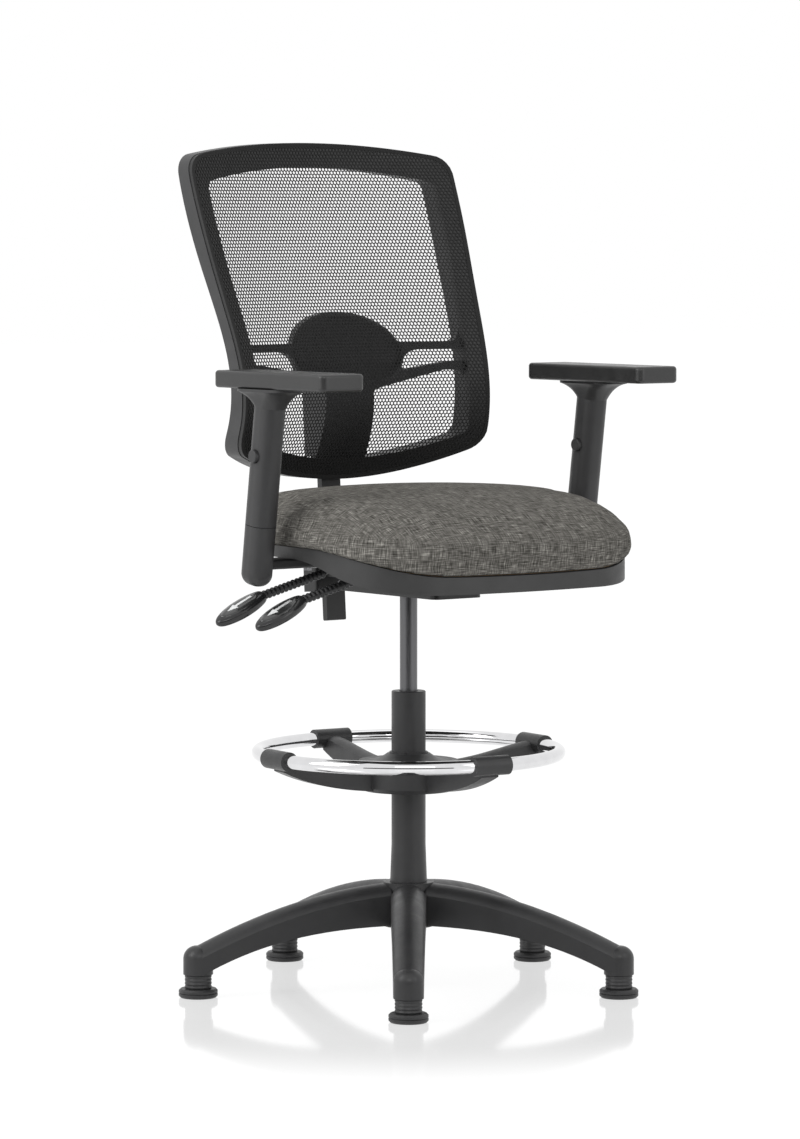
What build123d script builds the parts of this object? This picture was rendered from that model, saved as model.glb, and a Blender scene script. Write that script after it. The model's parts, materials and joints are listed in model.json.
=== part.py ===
from build123d import *

# Drafting chair: five-leg base on glides, gas column with a foot ring, upholstered seat,
# mesh back on an upright bar, two height-adjustable arms and two levers under the seat.
# Millimetres. The origin is on the floor under the column, +Z is up, the sitter faces -Y.

import os
from math import cos, radians, sin, sqrt, tan

# Fits and gaps
running_fit = 0.05
moving_gap = 0.5
seam_gap = 0.8

# Star base
leg_count = 5
leg_yaw = -37.0
glide_circle = 325.0
hub_radius = 38.0
hub_top = 158.0
hub_bottom = 92.0
leg_root_width = 54.0
leg_tip_width = 44.0
leg_root_bottom = 96.0
leg_tip_top = 76.0
leg_crown = 16.0
leg_wall = 4.0
leg_rib = 3.0
tip_round = 19.0

# Glides
glide_height = 34.0
glide_radius = 28.75
glide_flange = 13.0
glide_neck_radius = 20.0
glide_groove = 0.9
stem_radius = 5.5
stem_grip = 24.0

# Gas column
tube_radius = 24.2
tube_wall = 1.8
tube_taper_radius = 22.2
tube_bottom = 70.0
tube_plate = 3.0
tube_top = 436.0
bush_length = 84.0
bush_flange = 3.5
cover_radius = 25.4
cover_foot_radius = 27.5
cover_flare = 57.0
cover_lip = 3.2
cover_mouth = 14.0
rod_radius = 5.0
rod_stub = 8.0
race_radius = 12.0
race_height = 2.0
cage_height = 4.0
collar_height = 5.0
clip_height = 2.0
clip_groove = 1.0
cylinder_radius = 13.0
cylinder_wall = 1.8
cylinder_bottom = 230.0
cylinder_taper_radius = 12.3
cylinder_top = 628.0
gland_height = 16.0
valve_block = 53.0
piston_top = 414.0
piston_height = 12.0
pin_radius = 3.0
pin_length = 36.0
pin_proud = 4.0

# Foot ring
ring_yaw = -5.0
ring_radius = 223.3
ring_tube_radius = 10.0
ring_height = 351.7
ring_socket_radius = 14.3
ring_socket_length = 60.0
spider_arm_width = 28.0
spider_drop = 56.5
spider_rise = -1.5
spider_bell_radius = 74.0
spider_bell_side = 44.0
spider_collar = 3.0
collet_wall = 3.0
collet_slits = 4
collet_slit = 2.5

# Seat
seat_half_width = 250.0
seat_rear_width = 206.0
seat_front_taper = 16.0
seat_front = -283.0
seat_rear = 165.0
seat_front_bow = 14.0
seat_rear_bow = 8.0
seat_corner = 122.0
seam_knee = -80.0
seam_arc = 560.0
pan_gap = 3.0
pan_depth = 17.0
pan_front_drop = 45.0
pan_wall = 4.0
pan_floor = 3.0
pan_lip_slope = 0.12
boss_radius = 8.0
boss_inset = 55.0
board_thickness = 9.0
board_gap = 1.0
cushion_thickness = 79.0
cushion_bulge = 7.0
cushion_shoulder = 36.0
cushion_tuck = 10.0
cushion_flat_front = -70.0
cushion_flat_rear = 60.0
cushion_front_arc = 450.0
cushion_rear_arc = 787.0
cushion_side_drop = 14.0

# Mechanism under the seat
plate_rise = 21.0
plate_thickness = 3.0
plate_width = 190.0
plate_gap = 5.0
housing_width = 90.0
housing_height = 62.0
housing_nose = 20.0
housing_tail = 45.0
housing_wall = 2.5
housing_corner = 12.0
socket_length = 36.0
socket_radius = 19.0
web_lift = 14.0
web_length = 56.0
web_thickness = 3.0
bolt_radius = 4.0
bolt_head = 5.0
bolt_head_radius = 6.5
bolt_span_x = 150.0
bolt_span_y = 160.0
bolt_centre_y = 8.0
bush_radius = 9.0
tilt_pin_radius = 6.0
tilt_pin_y = 70.0
tilt_pin_lift = 25.0
tilt_pin_head = 4.0

# Levers
height_lever_y = -4.0
tilt_lever_y = -103.0
lever_rod_radius = 4.0
lever_reach = 268.0
lever_bend = 116.0
lever_slope = 14.5
lever_bend_radius = 200.0
lever_inner = 8.0
lever_hole_gap = 1.4
lever_pivot = 7.0
lever_pivot_radius = 3.0
lever_ear_gap = 6.5
lever_ear = 3.0
lever_ribs = 12
lever_rib_pitch = 9.5
lever_rib_radius = 6.2
lever_groove_radius = 4.9
paddle_length = 89.0
paddle_half_width = 18.0
paddle_end_round = 9.0
paddle_end_over = 4.5
paddle_thickness = 17.0
paddle_slope = 25.0
paddle_round = 4.5
paddle_inlay = 0.8
paddle_margin = 5.0

# Back bar and tilt arm
bar_width = 35.0
bar_thickness = 11.0
bar_y = 190.0
bar_lean = 4.0
bar_tail = 45.0
bar_length = 370.0
bar_notches = 6
bar_notch_pitch = 14.0
bar_notch = 5.0
arm_web_width = 60.0
arm_web_height = 16.0
arm_web_wall = 4.0
arm_hub_radius = 11.0
clamp_wall = 12.0
clamp_half_width = 44.0
clamp_height = 36.0
clamp_drop = 32.0

# Back, with heights above its lowest edge
back_rise = 169.5
back_height = 505.5
back_half_width = 242.0
back_waist = 227.0
back_foot_width = 230.0
back_shoulder_drop = 22.5
back_bottom_arc = 551.0
back_top_corner = 32.0
back_bottom_corner = 34.0
frame_border = 31.0
frame_top_extra = 6.0
opening_corner = 14.0
carrier_depth = 9.0
carrier_inset = 1.0
mesh_thickness = 1.0
panel_setback = 12.0
panel_thickness = 13.0
spine_half_width = 47.0
spine_neck = 44.0
spine_neck_rise = 134.5
dome_half_width = 100.0
dome_height = 59.0
dome_rise = 192.5
upper_bar_rise = 204.5
upper_bar = 11.0
lower_bar_rise = 162.5
lower_bar = 13.0
lower_bar_kink = 170.0
eye_inner = 100.0
window_round = 9.0
ratchet_half_width = 24.0
ratchet_rise = 40.5
ratchet_length = 78.0
ratchet_wall = 6.0
cover_wall = 2.5
cover_above_bar = 15.0
spine_cover_rise = 235.5
spine_reach = 62.0

# Lean of the back from its foot to its top: share of the height, distance of its side edges ahead of
# the bar, depth of the frame's sides, and radius of the wrap round the sitter
back_levels = [(-0.03, 58.0, 43.0, 678.0), (0.10, 83.0, 42.0, 678.0), (0.20, 98.5, 39.0, 678.0),
               (0.36, 90.5, 34.0, 678.0), (0.575, 47.0, 35.0, 700.0), (0.79, 2.5, 38.0, 780.0),
               (1.03, -23.0, 39.0, 870.0)]

# Arms
arm_gap = 46.6
arm_y = -28.0
arm_drop = 38.0
arm_height = 284.5
arm_lean = 8.0
arm_section = (40.0, 47.0)
arm_section_round = 19.0
arm_cover_height = 88.0
arm_cover_round = 18.0
pad_thickness = 25.0
pad_inward = 8.3
pad_width = 76.0
pad_ahead = 204.0
pad_behind = 65.0
pad_corner = 10.0
pad_round = 5.0
flare_height = 27.0
flare_width = 62.0
flare_length = 122.0
flare_lip = 4.0
blade_thickness = 8.0
blade_width = 30.0
blade_height = 230.0
blade_holes = 6
blade_hole_pitch = 15.0
blade_hole_radius = 4.0
blade_gap = 0.4
bracket_width = 36.0
bracket_thickness = 15.0
bracket_reach = 118.0
arm_bolt_x = (150.0, 205.0)
button_rise = 188.0
button_radius = 9.5
button_proud = 5.5
button_depth = 7.0
button_travel = 3.0

# Sizes that follow from the ones above
tube_bore = tube_radius - tube_wall
bush_bottom = tube_top - bush_length
flange_top = tube_top + bush_flange
cover_top = flange_top + cover_lip
cylinder_bore = cylinder_radius - cylinder_wall
bearing_bottom = tube_bottom + tube_plate
cage_bottom = bearing_bottom + race_height
upper_race_bottom = cage_bottom + cage_height
collar_bottom = upper_race_bottom + race_height
socket_bottom = cylinder_top - socket_length
pin_top = cylinder_top + pin_proud
spider_bottom = ring_height - spider_drop
spider_top = ring_height + spider_rise
collet_bore = cover_radius + running_fit
collet_radius = collet_bore + collet_wall
plate_top = cylinder_top + plate_rise
plate_bottom = plate_top - plate_thickness
housing_bottom = plate_top - housing_height
housing_front = tilt_lever_y - housing_nose
housing_rear = tilt_pin_y + housing_tail
web_height = socket_bottom + web_lift
tilt_pin_z = housing_bottom + tilt_pin_lift
lever_rod_z = pin_top + lever_rod_radius + moving_gap
lever_pivot_x = housing_width / 2 + lever_pivot
lever_end_z = lever_rod_z - (lever_reach - lever_bend) * tan(radians(lever_slope))
pan_underside = plate_top + pan_gap
pan_knee = arm_y - bracket_width / 2 - 2
seam_height = pan_underside + pan_depth
board_bottom = seam_height - board_thickness
cushion_top = seam_height + cushion_thickness
seat_past = cushion_thickness
seat_limits = (seat_front - seat_past, seat_rear + seat_past)
clamp_bottom = tilt_pin_z - clamp_drop
bar_bottom = clamp_bottom - bar_tail
bar_top = bar_bottom + bar_length
bar_front = bar_y - bar_thickness / 2
bar_back = bar_y + bar_thickness / 2
back_bottom = clamp_bottom + back_rise
back_top = back_bottom + back_height
back_shoulder = back_top - back_shoulder_drop
ratchet_bottom = back_bottom + ratchet_rise
ratchet_top = ratchet_bottom + ratchet_length
arm_x = seat_half_width + arm_gap
arm_low = pan_underside - arm_drop
pad_bottom = arm_low + arm_height
pad_x = arm_x - pad_inward
button_height = arm_low + button_rise


def spun(points):
    """Solid of revolution about Z from (radius, height) corners."""
    return revolve(Plane.XZ * make_face(Polyline(*points, close=True)), Axis.Z)


def block(x0, x1, y0, y1, z0, z1):
    """Box between two corners."""
    centre = ((x0 + x1) / 2, (y0 + y1) / 2, (z0 + z1) / 2)
    return Pos(*centre) * Box(x1 - x0, y1 - y0, z1 - z0)


def post(radius, bottom, top, x=0.0, y=0.0):
    """Upright cylinder between two heights."""
    return Pos(x, y, (bottom + top) / 2) * Cylinder(radius, top - bottom)


def cross_pin(radius, x0, x1, y, z):
    """Cylinder along X."""
    return Pos((x0 + x1) / 2, y, z) * Rot(0, 90, 0) * Cylinder(radius, x1 - x0)


# Star base
def leg_top(reach):
    return hub_top - (hub_top - leg_tip_top) * (reach / glide_circle) ** 1.9


def leg_bottom(reach):
    return leg_root_bottom - (leg_root_bottom - glide_height) * (reach / glide_circle) ** 2.7


def leg_section(reach, inset=0.0):
    """Crowned section of a leg at a distance from the hub, or of its hollow."""
    share = reach / glide_circle
    half = (leg_root_width + (leg_tip_width - leg_root_width) * share) / 2 - inset
    high = leg_top(reach) - inset
    low = leg_bottom(reach) - inset
    side = high - leg_crown
    walls = Polyline((-half, side), (-half, low), (half, low), (half, side))
    crown = ThreePointArc((half, side), (0, high), (-half, side))
    return Plane.XZ.offset(reach) * make_face(walls + crown)


def leg_tip():
    """Round end of a leg, which takes the glide's stem."""
    tip = Pos(0, -glide_circle) * post(leg_tip_width / 2, glide_height, leg_tip_top)
    return fillet(tip.edges().group_by(Axis.Z)[-1], tip_round)


def leg_hollow():
    """Ribbed hollow under a leg, in cells between the ribs."""
    near = hub_radius + 2 * leg_wall
    far = glide_circle - leg_tip_width / 2 - leg_wall
    stations = [near, (near + far) / 2, far]
    hollow = loft([leg_section(reach, leg_wall) for reach in stations])
    ribs = block(-leg_rib / 2, leg_rib / 2, -far, -near, 0, hub_top)
    for share in (0.3, 0.6):
        middle = near + (far - near) * share
        ribs += block(-leg_root_width, leg_root_width, -middle - leg_rib / 2, -middle + leg_rib / 2,
                      0, hub_top)
    return hollow - ribs


def tube_taper(height):
    """Radius of the column tube's taper, and of the hub's bore."""
    share = (height - tube_bottom) / (hub_top - tube_bottom)
    return tube_taper_radius + (tube_radius - tube_taper_radius) * share


def around(count, yaw, shape):
    """Copies of a shape turned evenly about Z."""
    return [Rot(0, 0, yaw + 360 * k / count) * shape for k in range(count)]


def star_base():
    stations = [hub_radius - leg_wall] + [share * glide_circle for share in (0.3, 0.55, 0.78, 1.0)]
    leg = loft([leg_section(reach) for reach in stations]) + leg_tip() - leg_hollow()
    base = post(hub_radius, hub_bottom, hub_top)
    for copy in around(leg_count, leg_yaw, leg):
        base += copy
    bore = tube_taper(hub_bottom)
    base -= spun([(0, hub_bottom), (bore, hub_bottom), (tube_radius, hub_top), (0, hub_top)])
    for copy in around(leg_count, leg_yaw, glide_stem()):
        base -= copy
    return base


def glide():
    """Plastic foot: rounded flange with a groove round it, and a ringed neck."""
    middle = glide_flange / 2
    edge = 0.2 * glide_flange
    ring = (glide_height - glide_flange) / 4
    corners = [(0, 0), (glide_radius - edge, 0), (glide_radius, edge)]
    corners += [(glide_radius, middle - glide_groove), (glide_radius - glide_groove, middle)]
    corners += [(glide_radius, middle + glide_groove), (glide_radius, glide_flange - edge)]
    corners += [(glide_radius - edge, glide_flange)]
    for k in range(4):
        low = glide_flange + k * ring
        corners += [(glide_neck_radius - glide_groove, low), (glide_neck_radius, low + ring / 2)]
    corners += [(glide_neck_radius - glide_groove, glide_height), (stem_radius, glide_height)]
    corners += [(stem_radius, glide_flange), (0, glide_flange)]
    return Pos(0, -glide_circle) * spun(corners)


def glide_stem():
    return post(stem_radius, glide_flange, glide_height + stem_grip, 0, -glide_circle)


# Gas column
def column_tube():
    hole = rod_radius + moving_gap
    inner_floor = tube_taper(bearing_bottom) - tube_wall
    return spun([(hole, tube_bottom), (tube_taper_radius, tube_bottom), (tube_radius, hub_top),
                 (tube_radius, tube_top), (tube_bore, tube_top), (tube_bore, hub_top),
                 (inner_floor, bearing_bottom), (hole, bearing_bottom)])


def column_cover():
    """Telescopic plastic cover with a flared foot and a lip round the cylinder."""
    edge = 1.0
    return spun([(tube_radius, hub_top), (cover_foot_radius, hub_top), (cover_radius, hub_top + cover_flare),
                 (cover_radius, cover_top - edge), (cover_radius - edge, cover_top), (cover_mouth, cover_top),
                 (cover_mouth, flange_top), (tube_radius, flange_top)])


def guide_bush():
    bore = cylinder_radius + running_fit
    return spun([(bore, bush_bottom), (tube_bore, bush_bottom), (tube_bore, tube_top),
                 (tube_radius, tube_top), (tube_radius, flange_top), (bore, flange_top)])


def bearing_ring(bottom, height, inner):
    return post(race_radius, bottom, bottom + height) - post(inner, bottom, bottom + height)


def piston_rod():
    """Rod that stands on the thrust bearing, with a clip groove below and the piston on top."""
    foot = tube_bottom - rod_stub
    clip = tube_bottom - clip_height - moving_gap
    neck = rod_radius - clip_groove
    head = cylinder_bore - 2 * running_fit
    collar = race_radius - 2
    return spun([(0, foot), (rod_radius, foot), (rod_radius, clip), (neck, clip), (neck, clip + clip_height),
                 (rod_radius, clip + clip_height), (rod_radius, collar_bottom), (collar, collar_bottom),
                 (collar, collar_bottom + collar_height), (rod_radius, collar_bottom + collar_height),
                 (rod_radius, piston_top - piston_height), (head, piston_top - piston_height),
                 (head, piston_top), (0, piston_top)])


def rod_clip():
    """Spring clip with an open side, in the rod's groove under the tube."""
    bottom = tube_bottom - clip_height - moving_gap
    neck = rod_radius - clip_groove
    ring = post(rod_radius + 4, bottom, bottom + clip_height) - post(neck, bottom, bottom + clip_height)
    return ring - block(-0.8 * neck, 0.8 * neck, 0, 2 * race_radius, bottom, bottom + clip_height)


def gas_cylinder():
    hole = pin_radius + running_fit
    valve_floor = cylinder_top - valve_block
    return spun([(cylinder_bore, cylinder_bottom), (cylinder_radius, cylinder_bottom),
                 (cylinder_radius, socket_bottom), (cylinder_taper_radius, cylinder_top),
                 (hole, cylinder_top), (hole, valve_floor), (cylinder_bore, valve_floor)])


def cylinder_gland():
    bore = rod_radius + running_fit
    top = cylinder_bottom + gland_height
    return spun([(bore, cylinder_bottom), (cylinder_bore, cylinder_bottom),
                 (cylinder_bore, top), (bore, top)])


def release_pin():
    edge = 0.8
    return spun([(0, pin_top - pin_length), (pin_radius, pin_top - pin_length), (pin_radius, pin_top - edge),
                 (pin_radius - edge, pin_top), (0, pin_top)])


# Foot ring
def ring_torus():
    return Pos(0, 0, ring_height) * Torus(ring_radius, ring_tube_radius)


def spider_arm():
    """Arm that sweeps out and up from the hub to a socket on the ring."""
    def section(reach, low, high):
        half = spider_arm_width / 2
        side = high - 0.35 * half
        walls = Polyline((-half, side), (-half, low), (half, low), (half, side))
        crown = ThreePointArc((half, side), (0, high), (-half, side))
        return Plane.XZ.offset(reach) * make_face(walls + crown)

    rise = ring_height - spider_bottom
    root = collet_radius + 4
    span = ring_radius - root
    arm = loft([
        section(root, spider_bottom, spider_bottom + 0.74 * rise),
        section(root + 0.35 * span, spider_bottom + 0.10 * rise, spider_bottom + 0.74 * rise),
        section(root + 0.70 * span, spider_bottom + 0.33 * rise, spider_bottom + 0.94 * rise),
        section(ring_radius, spider_bottom + 0.70 * rise, ring_height + 0.12 * rise),
    ])
    half = ring_socket_length / 2
    return arm + cross_pin(ring_socket_radius, -half, half, -ring_radius, ring_height)


def foot_ring_spider():
    """Bell-shaped hub with four arms, bored for the collet and for the ring's tube."""
    collar = collet_radius + spider_collar
    edge = 2 * spider_collar
    low_edge = spider_bottom + edge
    high_edge = spider_bottom + spider_bell_side
    flare = ((collar + spider_bell_radius) / 2 - edge, (high_edge + spider_top) / 2 - spider_collar)
    bell = make_face(
        Polyline((0, spider_top), (0, spider_bottom), (spider_bell_radius - edge, spider_bottom),
                 (spider_bell_radius, low_edge), (spider_bell_radius, high_edge))
        + ThreePointArc((spider_bell_radius, high_edge), flare, (collar, spider_top))
        + Line((collar, spider_top), (0, spider_top)))
    spider = revolve(Plane.XZ * bell, Axis.Z)
    for copy in around(4, ring_yaw, spider_arm()):
        spider += copy
    return spider - post(collet_radius + running_fit, 0, cover_top) - ring_torus()


def spider_collet():
    """Slit sleeve that grips the column cover."""
    bottom = spider_bottom + 2
    top = spider_top + 2
    sleeve = post(collet_radius, bottom, top) - post(collet_bore, bottom, top)
    for k in range(collet_slits):
        slit = block(-collet_slit / 2, collet_slit / 2, 0, 2 * collet_radius, bottom + 14, top)
        sleeve -= Rot(0, 0, 45 + 360 * k / collet_slits) * slit
    return sleeve


# Seat
def seat_outline(grow=0.0):
    """Plan of the seat, grown or shrunk: four bowed edges, narrower at the rear, and rounded corners."""
    wide = seat_half_width + grow
    narrow = seat_rear_width + grow
    front = seat_front + seat_front_bow - grow
    rear = seat_rear - seat_rear_bow + grow
    middle = (front + rear) / 2
    corner_wide = wide - seat_front_taper
    edges = ThreePointArc((-corner_wide, front), (0, seat_front - grow), (corner_wide, front))
    edges += ThreePointArc((corner_wide, front), (wide, middle), (narrow, rear))
    edges += ThreePointArc((narrow, rear), (0, seat_rear + grow), (-narrow, rear))
    edges += ThreePointArc((-narrow, rear), (-wide, middle), (-corner_wide, front))
    face = make_face(edges)
    return fillet(face.vertices(), seat_corner + grow)


def seam_at(y):
    """Height of the seam between pan and cushion: flat, then an arc down to the front."""
    ahead = max(0.0, seam_knee - y)
    return seam_height - seam_arc + sqrt(seam_arc ** 2 - ahead ** 2)


def seam_line(lift):
    front, rear = seat_limits
    middle = (front + seam_knee) / 2
    flat = Line((rear, seam_height + lift), (seam_knee, seam_height + lift))
    arc = ThreePointArc((seam_knee, seam_height + lift), (middle, seam_at(middle) + lift),
                        (front, seam_at(front) + lift))
    return flat + arc


def underside_line(lift):
    """Bottom of the pan: flat at the rear, then an S-curve down to the front."""
    front, rear = seat_limits
    low = pan_underside - pan_front_drop + lift
    high = pan_underside + lift
    flat = Line((rear, high), (pan_knee, high))
    curve = Spline((pan_knee, high), ((pan_knee + seat_front) / 2, (high + low) / 2), (seat_front, low),
                   tangents=[(-1, 0), (-1, -pan_lip_slope)])
    end = Line((seat_front, low), (front, low - pan_lip_slope * seat_past))
    return flat + curve + end


def between(lower, upper):
    """Slab across the seat between two side-view lines that run from rear to front."""
    start = Line(lower @ 0, upper @ 0)
    end = Line(lower @ 1, upper @ 1)
    face = make_face(lower.edges() + upper.edges() + [start, end])
    return extrude(Plane.YZ * face, 2 * seat_half_width, both=True)


def upright(face):
    """Plan face as a tall prism through the seat."""
    return extrude(Pos(0, 0, housing_bottom) * face, cushion_top + 2 * seat_past - housing_bottom)


def level(height):
    front, rear = seat_limits
    return Line((rear, height), (front, height))


def arm_bolt_places():
    return [(side * x, arm_y) for side in (-1, 1) for x in arm_bolt_x]


def boss_places():
    """Bosses at the board's corners and round the arm bolts."""
    far = seat_rear_width - boss_inset
    corners = [(x, y) for x in (-far, far) for y in (seat_front + 2 * boss_inset, seat_rear - boss_inset)]
    return corners + arm_bolt_places()


def seat_pan():
    """Plastic tray under the cushion, with bosses for the board and a cut-out for the mechanism."""
    high = cushion_top + seat_past
    pan = upright(seat_outline()) & between(underside_line(0), seam_line(0))
    pan -= upright(seat_outline(-pan_wall)) & between(underside_line(pan_floor), level(high))
    bosses = between(underside_line(0), seam_line(-board_thickness))
    for x, y in boss_places():
        pan += post(boss_radius, housing_bottom, high, x, y) & bosses
    half = plate_width / 2 + plate_gap
    pan -= block(-half, half, housing_front - plate_gap, housing_rear + plate_gap,
                 housing_bottom, board_bottom)
    for x, y in arm_bolt_places():
        pan -= post(bolt_radius, housing_bottom, high, x, y)
    return pan


def bolt_places():
    """Corners of the bolt pattern between the mechanism and the seat."""
    return [(sx * bolt_span_x / 2, bolt_centre_y + sy * bolt_span_y / 2) for sx in (-1, 1) for sy in (-1, 1)]


def seat_board():
    """Moulded plywood board that carries the cushion and takes every bolt."""
    board = upright(seat_outline(-pan_wall - board_gap)) & between(seam_line(-board_thickness), seam_line(0))
    for x, y in bolt_places() + arm_bolt_places():
        board -= post(bolt_radius, housing_bottom, cushion_top, x, y)
    return board


def cushion_crown(y):
    """Height of the cushion's middle: flat on top, falling to the front edge and a little at the rear."""
    ahead = max(0.0, cushion_flat_front - y)
    behind = max(0.0, y - cushion_flat_rear)
    return cushion_top - ahead ** 2 / (2 * cushion_front_arc) - behind ** 2 / (2 * cushion_rear_arc)


def seat_cushion():
    """Crowned cushion with round shoulders and sides that tuck in to the pan."""
    half = seat_half_width + seat_past

    def section(y):
        high = cushion_crown(y)
        side = high - cushion_side_drop
        walls = Polyline((-half, side), (-half, housing_bottom), (half, housing_bottom), (half, side))
        crown = ThreePointArc((half, side), (0, high), (-half, side))
        return Plane.XZ.offset(-y) * make_face(walls + crown)

    front, rear = seat_limits
    middle = (front + cushion_flat_front) / 2
    crowned = loft([section(y) for y in (front, middle, cushion_flat_front, cushion_flat_rear, rear)])
    cushion = upright(seat_outline(cushion_bulge)) & crowned
    cushion &= between(seam_line(0), level(cushion_top + seat_past))
    top = cushion.faces().sort_by(Axis.Z)[-1]
    cushion = fillet(top.edges(), cushion_shoulder)
    under = [e for e in cushion.edges().filter_by(Axis.X, reverse=True)
             if e.center().Z < seam_at(e.center().Y) + 1.0]
    return fillet(under, cushion_tuck)


def hex_bolt(bottom, top, x, y):
    """Bolt with a hexagon head below and its shank up to a height."""
    head = extrude(Pos(x, y, bottom - bolt_head) * RegularPolygon(bolt_head_radius, 6), bolt_head)
    return head + post(bolt_radius, bottom, top, x, y)


def seat_bolts():
    return [hex_bolt(plate_bottom, seam_height - 2, x, y) for x, y in bolt_places()]


def spacer_bushes():
    bush = post(bush_radius, plate_top, board_bottom) - post(bolt_radius, plate_top, board_bottom)
    return [Pos(x, y) * bush for x, y in bolt_places()]


# Mechanism
def mechanism_body():
    """Pressed steel housing, open below and behind, with a bolting plate on top."""
    length = housing_rear - housing_front
    middle = (housing_rear + housing_front) / 2
    inner = housing_width - 2 * housing_wall
    body = extrude(Pos(0, middle, housing_bottom) * RectangleRounded(housing_width, length, housing_corner),
                   plate_top - housing_bottom)
    hollow = RectangleRounded(inner, length - 2 * housing_wall, housing_corner - housing_wall)
    body -= extrude(Pos(0, middle, housing_bottom) * hollow, plate_bottom - housing_bottom)
    body += extrude(Pos(0, middle, plate_bottom) * RectangleRounded(plate_width, length, 2 * housing_corner),
                    plate_thickness)
    body += block(-inner / 2, inner / 2, -web_length / 2, web_length / 2,
                  web_height, web_height + web_thickness)
    mouth = inner / 2 - housing_corner
    body -= block(-mouth, mouth, 0.8 * housing_rear, 2 * housing_rear, 0, plate_bottom - 2 * housing_wall)
    body -= post(socket_radius, web_height - 1, web_height + web_thickness + 1)
    body -= cross_pin(tilt_pin_radius, -housing_width, housing_width, tilt_pin_y, tilt_pin_z)
    for y in (height_lever_y, tilt_lever_y):
        body -= cross_pin(lever_rod_radius + lever_hole_gap, -housing_width, 0, y, lever_rod_z)
        for side in (-1, 1):
            body += lever_ear_plate(y, side)
    for x, y in bolt_places():
        body -= post(bolt_radius, plate_bottom, plate_top, x, y)
    return body


def taper_socket():
    """Welded steel socket on the cylinder's taper."""
    return spun([(cylinder_radius, socket_bottom), (socket_radius, socket_bottom),
                 (socket_radius, cylinder_top), (cylinder_taper_radius, cylinder_top)])


def tilt_pin():
    half = housing_width / 2
    pin = cross_pin(tilt_pin_radius, -half - tilt_pin_head, half + tilt_pin_head, tilt_pin_y, tilt_pin_z)
    for side in (-1, 1):
        ends = sorted((side * half, side * (half + tilt_pin_head)))
        pin += cross_pin(1.6 * tilt_pin_radius, ends[0], ends[1], tilt_pin_y, tilt_pin_z)
    return pin


# Levers
def lever_pivot_pin(y, radius):
    """Cross pin on which a lever rocks, outside the housing's wall."""
    length = 2 * (lever_ear_gap + lever_ear)
    return Pos(-lever_pivot_x, y, lever_rod_z) * Rot(90, 0, 0) * Cylinder(radius, length)


def lever_ear_plate(y, side):
    """Ear on the housing's wall, bored for a lever's cross pin."""
    inner = y + side * lever_ear_gap
    outer = inner + side * lever_ear
    reach = 2.2 * lever_pivot_radius
    root = (housing_wall - housing_width) / 2
    ear = block(-lever_pivot_x - reach, root, min(inner, outer), max(inner, outer),
                lever_rod_z - reach, lever_rod_z + reach)
    return ear - lever_pivot_pin(y, lever_pivot_radius + running_fit)


def lever_rod(y):
    """Bent steel rod from the valve pin out to the paddle."""
    path = FilletPolyline((lever_inner, lever_rod_z), (-lever_bend, lever_rod_z), (-lever_reach, lever_end_z),
                          radius=lever_bend_radius)
    plane = Plane.XZ.offset(-y)
    start = Plane(origin=(lever_inner, y, lever_rod_z), z_dir=(-1, 0, 0))
    return sweep(start * Circle(lever_rod_radius), path=plane * path) + lever_pivot_pin(y, lever_pivot_radius)


def lever_frame(y, back):
    """Plane on the sloping stem at a distance back from its end, Z outwards along the stem."""
    slope = radians(lever_slope)
    x = -lever_reach + back * cos(slope)
    z = lever_end_z + back * sin(slope)
    return Plane(origin=(x, y, z), x_dir=(0, 1, 0), z_dir=(-cos(slope), 0, -sin(slope)))


def lever_sleeve(y):
    """Ribbed plastic sleeve on the sloping stem."""
    length = lever_ribs * lever_rib_pitch
    corners = [(lever_rod_radius, 0)]
    for k in range(lever_ribs):
        low = k * lever_rib_pitch
        corners += [(lever_groove_radius, low), (lever_rib_radius, low + 0.3 * lever_rib_pitch),
                    (lever_rib_radius, low + 0.6 * lever_rib_pitch)]
    corners += [(lever_groove_radius, length), (lever_rod_radius, length)]
    return lever_frame(y, length).location * spun(corners)


def leaf(inset=0.0):
    """Leaf outline of a paddle, two arcs with round ends, or a line inside it."""
    half = paddle_length / 2 + paddle_end_over
    arc = (half ** 2 + paddle_half_width ** 2) / (2 * paddle_half_width)
    wide = paddle_half_width - inset
    reach = sqrt((arc - inset) ** 2 - (arc - paddle_half_width) ** 2)
    sides = ThreePointArc((-reach, 0), (0, wide), (reach, 0))
    sides += ThreePointArc((reach, 0), (0, -wide), (-reach, 0))
    face = make_face(sides)
    return Pos(paddle_length / 2, 0) * fillet(face.vertices(), paddle_end_round - inset)


def lever_paddle(y):
    """Leaf-shaped paddle with a shallow recess for its inlay."""
    slope = radians(paddle_slope)
    frame = Plane(origin=(-lever_reach, y, lever_end_z), x_dir=(-cos(slope), 0, -sin(slope)),
                  z_dir=(-sin(slope), 0, cos(slope)))
    body = extrude(Pos(0, 0, -paddle_thickness / 2) * leaf(), paddle_thickness)
    rims = body.edges().group_by(Axis.Z)
    body = fillet(rims[0] + rims[-1], paddle_round)
    recess = leaf(paddle_round + paddle_margin / 2)
    inlay = extrude(Pos(0, 0, paddle_thickness / 2 - paddle_inlay) * recess, paddle_inlay)
    body = frame.location * (body - inlay)
    return body - lever_rod(y) - lever_sleeve(y)


# Tilt arm and back bar
def on_bar(shape):
    """Shape built about an upright bar, leaned back with it about the middle of the clamp."""
    pivot = clamp_bottom + clamp_height / 2
    return Pos(0, bar_y, pivot) * Rot(-bar_lean, 0, 0) * Pos(0, -bar_y, -pivot) * shape


def bar_slot(gap, behind=0.0):
    """Space that the upright bar takes, with a gap round it, and more behind it."""
    return on_bar(block(-bar_width / 2 - gap, bar_width / 2 + gap, bar_front - gap, bar_back + gap + behind,
                        bar_bottom - gap, bar_top + gap))


def clamp_bolt_heights():
    return [clamp_bottom + clamp_height * share for share in (0.3, 0.75)]


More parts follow.
